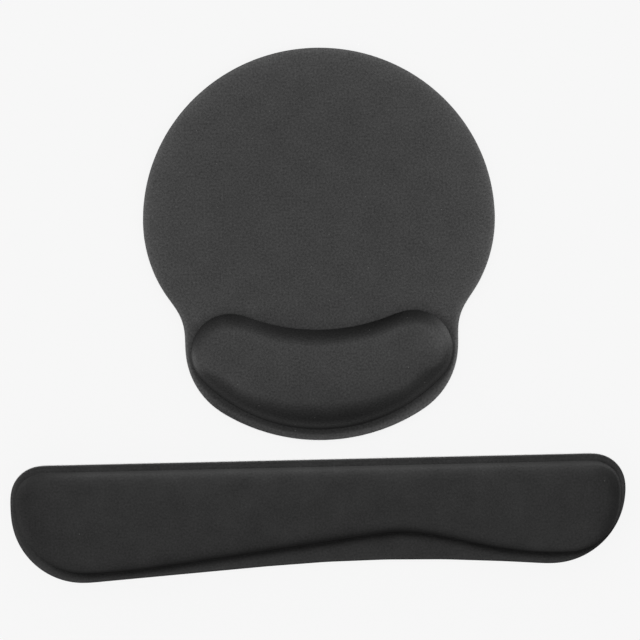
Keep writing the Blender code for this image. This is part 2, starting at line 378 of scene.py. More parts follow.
@dataclass(frozen=True)
class AdhesiveFilm:
    """Hot-melt film between dark sheets: smoky, slightly glossy, with flow marks."""

    name: str
    colour: Colour
    flow: float = 0.012
    relief: float = 0.00005

    def material(self) -> Material:
        """The film's material, on the piece's own coordinates."""
        graph = Graph(self.name)
        place = graph.own_place()
        flow = graph.noise(place, self.flow, 4)
        graph.set(
            Base_Color=graph.blend(flow, tint(self.colour, 0.7), tint(self.colour, 1.3)),
            Roughness=0.35 + flow * 0.2,
        )
        graph.bump(flow, self.relief)
        return graph.material


def smoothed(points: np.ndarray, reach: float, spacing: float) -> np.ndarray:
    """A closed run of even points with its facets smoothed away and no shrinking.

    Args:
        points: the points in plan, evenly spaced.
        reach: the width of the smoothing.
        spacing: the distance between points.

    Returns:
        The points, as many as before.
    """
    count = int(KERNEL_WIDTHS * reach / spacing)
    steps = np.arange(-count, count + 1)
    weights = np.exp(-0.5 * (steps * spacing / reach) ** 2)
    weights /= weights.sum()

    def pass_over(run: np.ndarray) -> np.ndarray:
        """The run after one smoothing."""
        return sum(w * np.roll(run, s, axis=0) for w, s in zip(weights, steps))

    once = pass_over(points)
    return 2 * once - pass_over(once)


def evenly(points: np.ndarray, count: int) -> np.ndarray:
    """A closed run of points resampled to that many, evenly along its length."""
    ring = np.vstack([points, points[:1]])
    along = np.r_[0, np.cumsum(np.linalg.norm(np.diff(ring, axis=0), axis=1))]
    places = np.linspace(0, along[-1], count, endpoint=False)
    return np.column_stack([np.interp(places, along, ring[:, axis]) for axis in (0, 1)])


def eased(share: np.ndarray) -> np.ndarray:
    """A share held between 0 and 1, with soft ends."""
    share = np.clip(share, 0, 1)
    return share**2 * (3 - 2 * share)


def length_of(points: np.ndarray) -> float:
    """The length round a closed run of points."""
    return float(np.linalg.norm(np.roll(points, -1, axis=0) - points, axis=1).sum())


@dataclass(frozen=True)
class Ring:
    """A ring of a skin: its points, their places on the knit map, and the painted shade or highlight at
    each.
    """

    points: np.ndarray
    places: np.ndarray
    painted_shading: np.ndarray

    @classmethod
    def level(cls, flat: np.ndarray, height: float, painted_shading: float | np.ndarray = 0.0) -> "Ring":
        """A ring at one height, on which the cloth lies flat."""
        even = np.ones(len(flat))
        return cls(np.column_stack([flat, even * height]), flat, even * painted_shading)


@dataclass(frozen=True)
class Loop:
    """A smooth closed loop in plan, counter-clockwise and evenly spaced."""

    points: np.ndarray

    @classmethod
    def through(cls, corners: np.ndarray, spacing: float, reach: float = 0.005) -> "Loop":
        """The smooth loop through the corners of a faceted one.

        Args:
            corners: the faceted loop.
            spacing: the distance between the new points.
            reach: the width of the smoothing, about the length of a facet.

        Returns:
            The loop.
        """
        fine = 0.001
        dense = evenly(corners, round(length_of(corners) / fine))
        smooth = smoothed(dense, reach, fine)
        return cls(evenly(smooth, round(length_of(smooth) / spacing)))

    def outward(self) -> np.ndarray:
        """The unit normals that point out of the loop."""
        along = np.roll(self.points, -1, axis=0) - np.roll(self.points, 1, axis=0)
        along /= np.linalg.norm(along, axis=1, keepdims=True)
        return np.column_stack([along[:, 1], -along[:, 0]])

    def grown(self, distance: float | np.ndarray) -> np.ndarray:
        """The points moved outwards by a distance, or inwards if it is negative."""
        return self.points + self.outward() * np.reshape(distance, (-1, 1))

    def at(self, distance: float | np.ndarray, height: float, painted_shading: float | np.ndarray = 0.0) -> Ring:
        """The ring that lies outside this loop by a distance, at a height."""
        return Ring.level(self.grown(distance), height, painted_shading)


def spans(points: np.ndarray, loop: np.ndarray) -> np.ndarray:
    """The distances from each point to all points of a loop."""
    return np.linalg.norm(points[:, None] - loop[None], axis=2)


def gaps(points: np.ndarray, loop: np.ndarray) -> np.ndarray:
    """The distance from each point to the nearest point of a loop."""
    return spans(points, loop).min(axis=1)


def within(points: np.ndarray, loop: np.ndarray) -> np.ndarray:
    """Which points lie inside a loop."""
    x, y = points[:, :1], points[:, 1:]
    low, high = loop, np.roll(loop, -1, axis=0)
    straddles = (low[:, 1] > y) != (high[:, 1] > y)
    rise = np.where(high[:, 1] == low[:, 1], NEVER_ZERO, high[:, 1] - low[:, 1])
    crossing = low[:, 0] + (y - low[:, 1]) * (high[:, 0] - low[:, 0]) / rise
    return (straddles & (x < crossing)).sum(axis=1) % 2 == 1


def scattered(loop: np.ndarray, pitch: float) -> np.ndarray:
    """Points on a three-way grid inside a loop and clear of it.

    Args:
        loop: the closed loop in plan.
        pitch: the distance between the points.

    Returns:
        The points in plan.
    """
    low, high = loop.min(axis=0), loop.max(axis=0)
    rows = np.arange(low[1], high[1], pitch * math.sqrt(0.75))
    columns = np.arange(low[0], high[0], pitch)
    flat = np.array([(x + pitch / 2 * (i % 2), y) for i, y in enumerate(rows) for x in columns])
    flat = flat[within(flat, loop)]
    return flat[gaps(flat, loop) > CLEARANCE * pitch]


class Membrane:
    """A skin stretched over a loop and blown up: how high it stands over each place, from 0 to 1."""

    def __init__(self, loop: np.ndarray, pitch: float = 0.002, rounds: int = 1500) -> None:
        """Lets the skin settle on a square grid.

        Args:
            loop: the closed loop in plan that holds it down.
            pitch: the grid's pitch.
            rounds: the number of times that each place is set to the mean of those around it.
        """
        self.pitch = pitch
        self.low = loop.min(axis=0) - pitch
        self.counts = np.ceil((loop.max(axis=0) - self.low) / pitch).astype(int) + 2
        grid = np.stack(np.meshgrid(*(np.arange(n) for n in self.counts), indexing="ij"), axis=-1)
        inside = within(self.low + pitch * grid.reshape(-1, 2), loop).reshape(self.counts)
        rise = np.zeros(self.counts)
        for _ in range(rounds):
            around = sum(np.roll(rise, step, axis) for step in (1, -1) for axis in (0, 1)) / 4
            rise = np.where(inside, around + 1, 0)
        self.rise = rise / rise.max()

    def over(self, points: np.ndarray) -> np.ndarray:
        """How high the skin stands over each point in plan."""
        place = (points - self.low) / self.pitch
        cell = np.clip(place.astype(int), 0, self.counts - 2)
        x, y = (place - cell).T
        i, j = cell.T
        near = self.rise[i, j] * (1 - x) + self.rise[i + 1, j] * x
        far = self.rise[i, j + 1] * (1 - x) + self.rise[i + 1, j + 1] * x
        return near * (1 - y) + far * y


def rim_loops(node: str) -> tuple[np.ndarray, np.ndarray, float]:
    """Reads the flat rim of a packed cover.

    Args:
        node: the cover's node.

    Returns:
        The faceted outline, the faceted foot of its cushion, and the height of the rim.
    """
    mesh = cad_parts[node].data
    flats = [face for face in mesh.polygons if face.normal.z > FLAT_NORMAL]
    level = min(face.center.z for face in flats)
    outline, foot = chained(mesh, [face for face in flats if face.center.z - level < LEVEL_ERROR])
    return outline, foot, level


def chained(mesh: Mesh, faces: Sequence[MeshPolygon]) -> list[np.ndarray]:
    """The boundary loops of flat faces, the longest first, all counter-clockwise.

    Args:
        mesh: the faces' mesh, whose triangles are loose.
        faces: the faces.

    Returns:
        The loops in plan.
    """
    steps: set[tuple] = set()
    for face in faces:
        corners = [mesh.vertices[i].co for i in face.vertices]
        keys = [(round(c.x, MICRON_DECIMALS), round(c.y, MICRON_DECIMALS)) for c in corners]
        steps.update(zip(keys, keys[1:] + keys[:1]))
    border = {here: after for here, after in steps if (after, here) not in steps}
    loops = []
    while border:
        here = min(border)
        loop = []
        while here in border:
            loop.append(here)
            here = border.pop(here)
        loops.append(np.array(loop))
    loops.sort(key=length_of, reverse=True)
    return [loop if signed_area(loop) > 0 else loop[::-1] for loop in loops]


def signed_area(points: np.ndarray) -> float:
    """The area inside a closed run of points, positive if it turns counter-clockwise."""
    after = np.roll(points, -1, axis=0)
    return float(np.sum(points[:, 0] * after[:, 1] - after[:, 0] * points[:, 1]) / 2)


class Spine:
    """The line along the middle of a cushion's foot that its crown rises to."""

    SAMPLES = 241
    WINDOW = 61
    END_SEARCH = (0.001, 0.08, 0.0005)

    def __init__(self, foot: np.ndarray) -> None:
        """Finds the middle line.

        Args:
            foot: the points of the foot in plan, counter-clockwise.
        """
        first = int(foot[:, 0].argmin())
        turned = np.roll(foot, -first, axis=0)
        last = int(turned[:, 0].argmax())
        front = turned[: last + 1]
        rear = np.vstack([turned[last:], turned[:1]])[::-1]
        self.low = self.end(front, rear, foot[:, 0].min(), 1)
        self.high = self.end(front, rear, foot[:, 0].max(), -1)
        self.x = np.linspace(self.low, self.high, self.SAMPLES)
        middle = (np.interp(self.x, *front.T) + np.interp(self.x, *rear.T)) / 2
        window = np.hanning(self.WINDOW)
        padded = np.pad(middle, self.WINDOW // 2, mode="reflect", reflect_type="odd")
        self.y = np.convolve(padded, window / window.sum(), mode="valid")

    @staticmethod
    def end(front: np.ndarray, rear: np.ndarray, tip: float, inwards: int) -> float:
        """Where the spine ends: as far from the tip as from the two sides."""
        for back in np.arange(*Spine.END_SEARCH):
            x = tip + inwards * back
            if np.interp(x, *rear.T) - np.interp(x, *front.T) <= 2 * back:
                return float(x)
        raise ValueError("the cushion has no spine")

    def under(self, points: np.ndarray) -> np.ndarray:
        """The point of the spine for each point of the cushion."""
        x = np.clip(points[:, 0], self.low, self.high)
        return np.column_stack([x, np.interp(x, self.x, self.y)])


Profile = Sequence[Sequence[float]]


@dataclass(frozen=True)
class SideForm:
    """How one side of a cushion rounds over, and the shade and light painted on its cloth there.

    The run is how far in the shoulder lies, and the toe is the flare at the foot, 1 for none. The tone says
    how much darker the cloth is painted at the stations up the side, as painted shade, or lighter where it
    is negative, as a painted highlight; the mark how dark the painted shade along the crease at the
    foot is, the spread how far that painted shadow reaches over the rim, and the glow how much of the
    painted glow along the cloth's edge shows on this side.
    """

    run: float
    toe: float
    tone: Profile
    mark: float = 1.0
    spread: float = 0.002
    glow: float = 1.0

    def tone_at(self, degrees: float) -> float:
        """How much darker the cloth is painted at a station, as painted shade, or lighter where negative, as
        a painted highlight.
        """
        return float(np.interp(degrees, *self.tone))


@dataclass
class CushionForm:
    """The form of a cushion over its foot: its rounded sides and its crown.

    The middle is the place along the length where the front has its own form. From there it changes to
    that of the lobes. The rear changes to that of its left lobe over a span of places. The painted shade
    and highlight of the left and right ends have a sharpness each, and may be turned by some degrees
    towards the rear.
    """

    rear: SideForm
    rear_left: SideForm
    front: SideForm
    left_lobe: SideForm
    right_lobe: SideForm
    left: SideForm
    right: SideForm
    crown: float
    middle: float
    rear_left_span: tuple[float, float]
    tone_sharpness: tuple[float, float]
    tone_turn: tuple[float, float] = (0.0, 0.0)
    pitch: float = 0.0042
    fade: float = 0.01
    stations: Sequence[float] = (0, 5, 11, 18, 25, 32, 39, 47, 55, 64, 72, 79, 85)

    def inward(self, foot: np.ndarray) -> np.ndarray:
        """The way in from each point of the foot, towards the spine."""
        way = Spine(foot).under(foot) - foot
        return way / np.linalg.norm(way, axis=1, keepdims=True)

    def sides(self, foot: np.ndarray, level: float, top: float, depth: float) -> list[Ring]:
        """The rings from the foot to the shoulder. The knit map follows the cloth down the sides.

        Args:
            foot: the points of the foot in plan.
            level: the height of the rim at the foot.
            top: the height of the crown.
            depth: how far the form is moved inwards, square to it.

        Returns:
            The rings.
        """
        inward = self.inward(foot)
        run = self.round_foot(foot, lambda side: side.run)
        toe = self.round_foot(foot, lambda side: side.toe)
        height = top - level - self.crown
        rings: list[Ring] = []
        path = np.zeros(len(foot))
        above = None
        for degrees in reversed(self.stations):
            inset, rise = self.station(degrees, run, toe, height, depth)
            if above is None:
                brink = inset
            else:
                path += np.hypot(above[0] - inset, above[1] - rise)
            above = (inset, rise)
            flat = foot + inward * inset[:, None]
            places = flat - inward * (path - (brink - inset))[:, None]
            # Painted shade, or painted highlight where negative, at this station up the side
            tone = self.tone_round(foot, lambda side: side.tone_at(degrees))
            rings.insert(0, Ring(np.column_stack([flat, level + rise]), places, tone))
        return rings

    def crown_over(self, shoulder: Ring) -> Ring:
        """The points of the crown inside the shoulder, the highest ring of the sides."""
        loop = shoulder.points[:, :2]
        flat = scattered(loop, self.pitch)
        height = shoulder.points[:, 2].mean() + self.crown * Membrane(loop).over(flat)
        far = spans(flat, loop)
        # The shoulder's painted shade fades out into the crown
        tone = shoulder.painted_shading[far.argmin(axis=1)] * np.exp(-far.min(axis=1) / self.fade)
        return Ring(np.column_stack([flat, height]), flat, tone)

    def tone_round(self, foot: np.ndarray, value: Callable[[SideForm], float]) -> np.ndarray:
        """A value of the painted shade and highlight, blended round the foot as the painted tone is."""
        return self.round_foot(foot, value, self.tone_sharpness, self.tone_turn)

    def round_foot(
        self,
        foot: np.ndarray,
        value: Callable[[SideForm], float],
        sharpness: tuple[float, float] = (2.0, 2.0),
        turn: tuple[float, float] = (0.0, 0.0),
    ) -> np.ndarray:
        """A value of the sides, blended round the foot by the way that each point faces.

        Args:
            foot: the points of the foot in plan.
            value: gives a side's value.
            sharpness: how closely the left and right ends keep to themselves.
            turn: how many degrees the two ends' shares are turned to the rear.

        Returns:
            The value at each point.
        """
        along, across = -Loop(foot).outward().T
        fronts = foot[across > FRONT_FACING, 0]
        from_middle = foot[:, 0] - self.middle
        on_left = from_middle < 0
        reach = np.where(on_left, fronts.min() - self.middle, fronts.max() - self.middle)
        out = eased(from_middle / reach)
        start, end = self.rear_left_span
        corner = eased((foot[:, 0] - start) / (end - start))
        left, right = (
            np.clip(way * math.cos(angle) - across * math.sin(angle), 0, 1) ** power
            for way, angle, power in zip((along, -along), np.radians(turn), sharpness)
        )
        rest = np.clip(1 - left - right, 0, 1)
        front = np.where(across > 0, rest, 0)
        rear = rest - front
        shares = (
            (self.left, left),
            (self.right, right),
            (self.rear, rear * (1 - corner)),
            (self.rear_left, rear * corner),
            (self.front, front * (1 - out)),
            (self.left_lobe, front * out * on_left),
            (self.right_lobe, front * out * ~on_left),
        )
        return sum(value(side) * share for side, share in shares)

    @staticmethod
    def station(
        degrees: float, run: np.ndarray, toe: np.ndarray, height: float, depth: float
    ) -> tuple[np.ndarray, np.ndarray]:
        """The inset and rise of a station up the side, moved inwards by a depth.

        Args:
            degrees: the station, from 0 at the foot to 90 at the shoulder.
            run: how far in the shoulder lies.
            toe: the flare at the foot, 1 for none.
            height: the height of the shoulder.
            depth: how far to move inwards, square to the side.

        Returns:
            The inset and the rise.
        """

        def on_side(angle: float) -> tuple[np.ndarray, np.ndarray]:
            """The inset and rise of the side itself at an angle in radians."""
            return run * (1 - math.cos(angle)), height * math.sin(angle) ** toe

        angle = math.radians(degrees)
        step = 0.01
        low = on_side(max(angle - step, 0))
        high = on_side(min(angle + step, math.pi / 2))
        along = np.array([high[0] - low[0], high[1] - low[1]])
        along /= np.linalg.norm(along, axis=0)
        inset, rise = on_side(angle)
        return inset + along[1] * depth, rise - along[0] * depth


def deselect() -> None:
    """Leaves nothing selected, so that an operator acts only on what is picked next."""
    for item in bpy.context.selected_objects:
        item.select_set(False)


def pick(piece: Object) -> None:
    """Makes one piece the only one selected, and active."""
    deselect()
    piece.select_set(True)
    bpy.context.view_layer.objects.active = piece


def apply_modifier(piece: Object, kind: str, **settings: Any) -> None:
    """Adds a modifier with those settings to a piece and applies it."""
    pick(piece)
    modifier = piece.modifiers.new(kind.lower(), kind)
    for key, value in settings.items():
        setattr(modifier, key, value)
    bpy.ops.object.modifier_apply(modifier=modifier.name)


def smooth(piece: Object, degrees: float) -> None:
    """Shades a piece smooth, apart from edges sharper than that."""
    pick(piece)
    bpy.ops.object.shade_smooth_by_angle(angle=math.radians(degrees))


def add_object(name: str, data: Any) -> Object:
    """Adds an object with that data to the scene."""
    made = bpy.data.objects.new(name, data)
    bpy.context.scene.collection.objects.link(made)
    return made


class Skin:
    """A sheet of cloth or foam built up from rings, with its knit map."""

    def __init__(self) -> None:
        """Starts an empty sheet."""
        self.bm = bmesh.new()
        self.map = self.bm.loops.layers.uv.new(KNIT_UV)
        self.shade_paint = self.bm.verts.layers.float.new(PAINTED_SHADING)

    def points(self, ring: Ring) -> list[BMVert]:
        """Adds the points of a ring."""
        made = [self.bm.verts.new(point) for point in ring.points]
        for vert, painted_shading in zip(made, ring.painted_shading):
            vert[self.shade_paint] = painted_shading
        return made

    def stack(self, rings: Sequence[Ring], start: list | None = None) -> list[list[BMVert]]:
        """Skins rings of as many points, from the outer one to the inner one.

        Args:
            rings: the rings.
            start: points that are already there and stand for those of the first ring.

        Returns:
            The rings' vertices.
        """
        made = [start or self.points(rings[0])]
        for outer, inner in zip(rings, rings[1:]):
            low, high = made[-1], self.points(inner)
            made.append(high)
            for i in range(len(low)):
                face = self.bm.faces.new((low[i - 1], low[i], high[i], high[i - 1]))
                places = (outer.places[i - 1], outer.places[i], inner.places[i], inner.places[i - 1])
                for corner, place in zip(face.loops, places):
                    corner[self.map].uv = place
        return made

    def quilt(self, ring: Sequence[BMVert], points: Ring, hole: Sequence[BMVert] = ()) -> list[BMVert]:
        """Skins the space inside a ring over scattered points.

        Args:
            ring: the ring.
            points: the points inside it.
            hole: a ring inside it that stays open.

        Returns:
            The points' vertices.
        """
        inner = self.points(points)
        verts = [*ring, *hole, *inner]
        plan = [vert.co.xy for vert in verts]
        count = len(ring)
        turn = [*range(count, count + len(hole))]
        edges = [*zip(turn, turn[1:] + turn[:1])]
        solved = delaunay_2d_cdt(plan, edges, [[*range(count)]], 1, MERGE_ERROR)
        source = [origin[0] for origin in solved[3]]
        corners = np.array([[source[i] for i in face] for face in solved[2]])
        centres = np.array(plan)[corners].mean(axis=1)
        if hole:
            corners = corners[~within(centres, np.array(plan)[turn])]
        self.lay([self.bm.faces.new([verts[i] for i in face]) for face in corners])
        return inner

    def lay(self, faces: Iterable[BMFace]) -> None:
        """Turns faces up and lays the knit flat on them."""
        for face in faces:
            face.normal_update()
            if face.normal.z < 0:
                face.normal_flip()
            for corner in face.loops:
                corner[self.map].uv = corner.vert.co.xy

    def piece(self, name: str) -> Object:
        """Ends the sheet and makes it an object of that name."""
        mesh = bpy.data.meshes.new(name)
        self.bm.to_mesh(mesh)
        self.bm.free()
        return add_object(name, mesh)


@dataclass(frozen=True)
class Swell:
    """A short cloth simulation that lets the cushion push its cover out to its full height.

    The start is how far under that height the cover is before it.
    """

    pressure: float
    start: float
    cap: float = 0.0015
    frames: int = 20
    quality: int = 6
    mass: float = 0.3
    stretch: float = 30
    shear: float = 15
    bending: float = 8

    def run(self, skin: Object, free: Iterable[int]) -> float:
        """Swells the free points of a skin and holds the rest.

        Args:
            skin: the sheet, without thickness.
            free: the indices of the points that may move.

        Returns:
            The furthest that a point moved.
        """
        before = np.array([v.co for v in skin.data.vertices])
        free = sorted(free)
        held = sorted(set(range(len(before))) - set(free))
        skin.vertex_groups.new(name=HELD_GROUP).add(held, 1.0, "REPLACE")
        pick(skin)
        modifier = skin.modifiers.new("swell", "CLOTH")
        cloth = modifier.settings
        cloth.quality = self.quality
        cloth.mass = self.mass
        cloth.tension_stiffness = cloth.compression_stiffness = self.stretch
        cloth.shear_stiffness = self.shear
        cloth.bending_stiffness = self.bending
        cloth.vertex_group_mass = HELD_GROUP
        cloth.use_pressure = True
        cloth.uniform_pressure_force = self.pressure
        cloth.effector_weights.gravity = 0
        modifier.collision_settings.use_collision = False
        modifier.point_cache.frame_start = 1
        modifier.point_cache.frame_end = self.frames
        for step in range(1, self.frames + 1):
            bpy.context.scene.frame_set(step)
        bpy.ops.object.modifier_apply(modifier=modifier.name)
        bpy.context.scene.frame_set(1)
        after = np.array([v.co for v in skin.data.vertices])
        moved = after - before
        length = np.linalg.norm(moved, axis=1, keepdims=True)
        moved *= np.minimum(1, self.cap / np.maximum(length, 1e-9))
        skin.data.vertices.foreach_set("co", (before + moved).astype(np.float32).ravel())
        skin.vertex_groups.clear()
        return float(length.max())


@dataclass
class Cover:
    """A stretch-knit cover: rolled edge, flat rim, creased foot and padded cushion, with painted shade and
    highlight on its cloth.
    """

    node: str
    form: CushionForm
    swell: Swell
    # Painted tone in from the outline, by how far in: lighter where negative, a painted glow along the edge
    edge: Profile
    cloth: float = 0.0005
    rim_pitch: float = 0.006
    edge_rings: float = 0.013
    edge_share: float = 0.3
    crease_share: float = 0.5
    outline_spacing: float = 0.003
    foot_spacing: float = 0.003
    roll: Sequence[tuple[float, float]] = (
        (0.0, 0.00085),
        (0.0001, 0.00045),
        (0.00035, 0.00015),
        (0.0008, 0.00002),
        (0.0011, 0.0),
        (0.0013, 0.0),
    )
    # Each ring of the crease: its reach over the rim, its drop, and its painted shade, which stands in for
    # the shade in the crease and the shadow on the rim
    crease: Sequence[tuple[float, float, float]] = (
        (1.0, 0.0, 0.5),
        (0.8, 0.0, 0.65),
        (0.6, 0.0, 0.77),
        (0.4, 0.0, 0.8),
        (0.23, 0.00003, 0.8),
        (0.13, 0.00012, 0.86),
        (0.07, 0.0002, 1.0),
        (0.0, 0.0003, 1.0),
    )

    def __post_init__(self) -> None:
        """Reads the outline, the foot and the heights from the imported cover."""
        outline, foot, self.level = rim_loops(self.node)
        self.outline = Loop.through(outline, self.outline_spacing)
        self.foot = Loop.through(foot, self.foot_spacing)
        self.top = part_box(self.node)[1].z - self.swell.start

    def edge_tone(self, inset: float | np.ndarray, glow: np.ndarray) -> np.ndarray:
        """How much darker the cloth is painted so far in from the edge, where so much of its painted edge
        glow shows; lighter where negative.
        """
        base = self.edge[1][-1]
        return base + glow * (np.interp(inset, *self.edge) - base)

    def border(self, glow: np.ndarray) -> Iterable[Ring]:
        """The rings from the rolled edge in over the rim.

        Args:
            glow: how much of the painted edge glow shows at each point of the outline.

        Yields:
            The rings, squeezed together where the rim is narrow.
        """
        room = gaps(self.outline.points, self.foot.points)
        start = self.roll[-1][0]
        for inset, drop in self.roll:
            yield self.outline.at(-inset, self.level - drop, self.edge_tone(inset, glow))
        steps = [inset for inset in self.edge[0] if start < inset < self.edge_rings]
        for i, inset in enumerate(steps, 1):
            limit = self.edge_share * (room - start) * i / len(steps)
            place = start + np.minimum(inset - start, limit)
            yield self.outline.at(-place, self.level, self.edge_tone(inset, glow))

    def rim_between(self, outer: Ring, inner: Ring, glow: np.ndarray) -> Ring:
        """The points of the flat rim between two rings, with the painted edge glow by how far in they lie.

        Args:
            outer: the last ring of the border.
            inner: the first ring of the crease.
            glow: how much of the painted edge glow shows at each point of the outline.

        Returns:
            The points.
        """
        hole = inner.points[:, :2]
        flat = scattered(outer.points[:, :2], self.rim_pitch)
        flat = flat[~within(flat, hole)]
        flat = flat[gaps(flat, hole) > CLEARANCE * self.rim_pitch]
        far = spans(flat, self.outline.points)
        return Ring.level(flat, self.level, self.edge_tone(far.min(axis=1), glow[far.argmin(axis=1)]))

    def crease_shade_rings(self) -> Iterable[Ring]:
        """The rings of the crease, from the rim to the foot of the cushion, with painted shade that stands
        in for the shade in the crease and the shadow on the rim.
        """
        foot = self.foot.points
        room = gaps(foot, self.outline.points) - self.roll[-1][0]
        spread = self.form.round_foot(foot, lambda side: side.spread)
        spread = np.minimum(spread, self.crease_share * room)
        mark = self.form.tone_round(foot, lambda side: side.mark)
        at_foot = self.form.tone_round(foot, lambda side: side.tone_at(0))
        for reach, drop, tone in self.crease:
            height = self.level - drop * np.clip(mark, 0, 1)
            painted_shading = self.edge[1][-1] + tone * mark if reach else at_foot
            yield self.foot.at(reach * spread, height, painted_shading)

    def build(self, name: str) -> Object:
        """Models the cover.

        Args:
            name: the piece's name.

        Returns:
            The piece.
        """
        glow = self.form.round_foot(self.outline.points, lambda side: side.glow)
        edge = list(self.border(glow))
        shade_paint = list(self.crease_shade_rings())
        sides = self.form.sides(self.foot.points, self.level, self.top, 0)
        skin = Skin()
        border = skin.stack(edge)
        crease = skin.stack(shade_paint)
        skin.quilt(border[-1], self.rim_between(edge[-1], shade_paint[0], glow), crease[0])
        cushion = skin.stack(sides, crease[-1])
        crown = skin.quilt(cushion[-1], self.form.crown_over(sides[-1]))
        skin.bm.verts.index_update()
        free = [vert.index for ring in (*cushion[1:], crown) for vert in ring]
        made = skin.piece(name)
        LOG.info("%s swelled by up to %.2f mm", name, 1000 * self.swell.run(made, free))
        apply_modifier(made, "SUBSURF", levels=1, render_levels=1)
        apply_modifier(made, "SOLIDIFY", thickness=self.cloth, offset=-1, use_even_offset=True)
        smooth(made, CLOTH_SMOOTH)
        return made


@dataclass
class Core:
    """A shaped foam core that stands on the film and fills a cover."""

    cover: Cover
    low: float
    depth: float

    def build(self, name: str) -> Object:
        """Models the core.

        Args:
            name: the piece's name.

        Returns:
            The piece.
        """
        form = self.cover.form
        sides = form.sides(self.cover.foot.points, self.cover.level, self.cover.top, self.depth)
        foot = Ring.level(sides[0].points[:, :2], self.low)
        skin = Skin()
        made = skin.stack([foot, *sides])
        skin.bm.faces.new(reversed(made[0]))
        skin.quilt(made[-1], form.crown_over(sides[-1]))
        piece = skin.piece(name)
        smooth(piece, FOAM_SMOOTH)
        return piece


@dataclass
class DieCutSheet:
    """A flat sheet cut to an outline, with its cut edges slightly eased."""

    outline: Loop
    low: float
    high: float
    ease: float

    def build(self, name: str) -> Object:
        """Models the sheet from a circle that is laid on the outline, raised and eased.

        Args:
            name: the piece's name.

        Returns:
            The piece.
        """
        deselect()
        points = self.outline.points
        bpy.ops.mesh.primitive_circle_add(vertices=len(points), fill_type="NGON")
        piece = bpy.context.active_object
        piece.name = piece.data.name = name
        flat = np.column_stack([points, np.full(len(points), self.low)])
        piece.data.vertices.foreach_set("co", flat.astype(np.float32).ravel())
        piece.data.update()
        bpy.ops.object.mode_set(mode="EDIT")
        bpy.ops.mesh.select_all(action="SELECT")
        bpy.ops.mesh.extrude_region_move(
            TRANSFORM_OT_translate={"value": (0, 0, self.high - self.low)}
        )
        bpy.ops.mesh.select_all(action="SELECT")
        bpy.ops.mesh.normals_make_consistent(inside=False)
        bpy.ops.object.mode_set(mode="OBJECT")
        apply_modifier(
            piece,
            "BEVEL",
            width=self.ease,
            segments=2,
            limit_method="ANGLE",
            angle_limit=math.radians(CUT_EDGE),
        )
        smooth(piece, SHEET_SMOOTH)
        return piece


@dataclass(frozen=True)
class Skylight:
    """A large soft light from above, flagged off from all but some pieces."""

    name: str
    lean: tuple[float, float]
    softness: float
    level: float

    def build(self, lit: Collection) -> None:
        """Hangs the light, which leans by degrees to the rear and to the left.

        Args:
            lit: the pieces that it lights.
        """
        lamp = bpy.data.lights.new(self.name, "SUN")
        lamp.angle = math.radians(self.softness)
        rear, left = (math.radians(degrees) for degrees in self.lean)
        way = Vector((math.tan(left), -math.tan(rear), -1)).normalized()
        lamp.energy = self.level * math.pi / -way.z
        item = add_object(self.name, lamp)
        item.rotation_euler = way.to_track_quat("-Z", "Y").to_euler()
        item.light_linking.receiver_collection = lit


@dataclass(frozen=True)
class StripBox:
    """A soft strip lamp, flagged off from all but some pieces."""

    name: str
    place: Place
    aim: Place
    size: tuple[float, float]
    level: float

    def build(self, lit: Collection) -> None:
        """Hangs the lamp.

        Args:
            lit: the pieces that it lights and that shade each other from it.
        """
        lamp = bpy.data.lights.new(self.name, "AREA")
        lamp.shape = "RECTANGLE"
        lamp.size, lamp.size_y = self.size
        reach = Vector(self.aim) - Vector(self.place)
        lamp.energy = self.level * math.pi**2 * reach.length_squared
        item = add_object(self.name, lamp)
        item.location = self.place
        item.rotation_euler = reach.to_track_quat("-Z", "Y").to_euler()
        item.light_linking.receiver_collection = lit
        item.light_linking.blocker_collection = lit


def group(name: str, pieces: Iterable[Object]) -> Collection:
    """Gathers pieces for the lamps that light them."""
    gathered = bpy.data.collections.new(name)
    for piece in pieces:
        gathered.objects.link(piece)
    return gathered


def dress(piece: Object, material: Material, body: str, node: str, slot: str) -> Object:
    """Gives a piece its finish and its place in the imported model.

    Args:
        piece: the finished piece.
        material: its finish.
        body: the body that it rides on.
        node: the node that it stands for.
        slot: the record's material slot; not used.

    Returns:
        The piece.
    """
    piece.data.materials.clear()
    piece.data.materials.append(material)
    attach(piece, body)
    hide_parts(node)
    LOG.info("%s: %d faces, on %s", piece.name, len(piece.data.polygons), body)
    return piece


@dataclass
class PaddedRest:
    """One loose piece of the set: die-cut sheets, a foam core and a knit cover."""

    body: str
    cover_node: str
    foam_node: str
    sheets: dict[str, str]
    form: CushionForm
    swell: Swell
    cloth: KnitCloth
    cloth_slot: str
    fill: float
    lamps: Sequence[Skylight | StripBox]
    edge: Profile
    cloth_gap: float = 0.0006
    edge_ease: float = 0.0003

    def build(self, finishes: dict[str, Material]) -> None:
        """Models and dresses all pieces.

        Args:
            finishes: the materials of the hidden layers by the record's slot.
        """
        cover = Cover(self.cover_node, self.form, self.swell, self.edge)
        pieces = [
            *self.build_sheets(cover.outline, finishes),
            self.build_core(cover, finishes["foam"]),
            self.build_cover(cover),
        ]
        lit = group(f"{self.body}_light", pieces)
        for lamp in self.lamps:
            lamp.build(lit)

    def build_sheets(self, outline: Loop, finishes: dict[str, Material]) -> Iterable[Object]:
        """Models the flat sheets, each between the heights of its node."""
        for node, slot in self.sheets.items():
            low, high = (corner.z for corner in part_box(node))
            ease = min(self.edge_ease, (high - low) / 4)
            sheet = DieCutSheet(outline, low, high, ease).build(f"{node}_sheet")
            yield dress(sheet, finishes[slot], self.body, node, slot)

    def build_core(self, cover: Cover, finish: Material) -> Object:
        """Models the foam core under the cover."""
        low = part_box(self.foam_node)[0].z
        core = Core(cover, low, cover.cloth + self.cloth_gap).build(f"{self.foam_node}_core")
        dress(core, finish, self.body, self.foam_node, "foam")
        return core

    def build_cover(self, cover: Cover) -> Object:
        """Models the knit cover."""
        skin = cover.build(f"{self.cover_node}_knit")
        dress(skin, self.cloth.material(), self.body, self.cover_node, self.cloth_slot)
        return skin


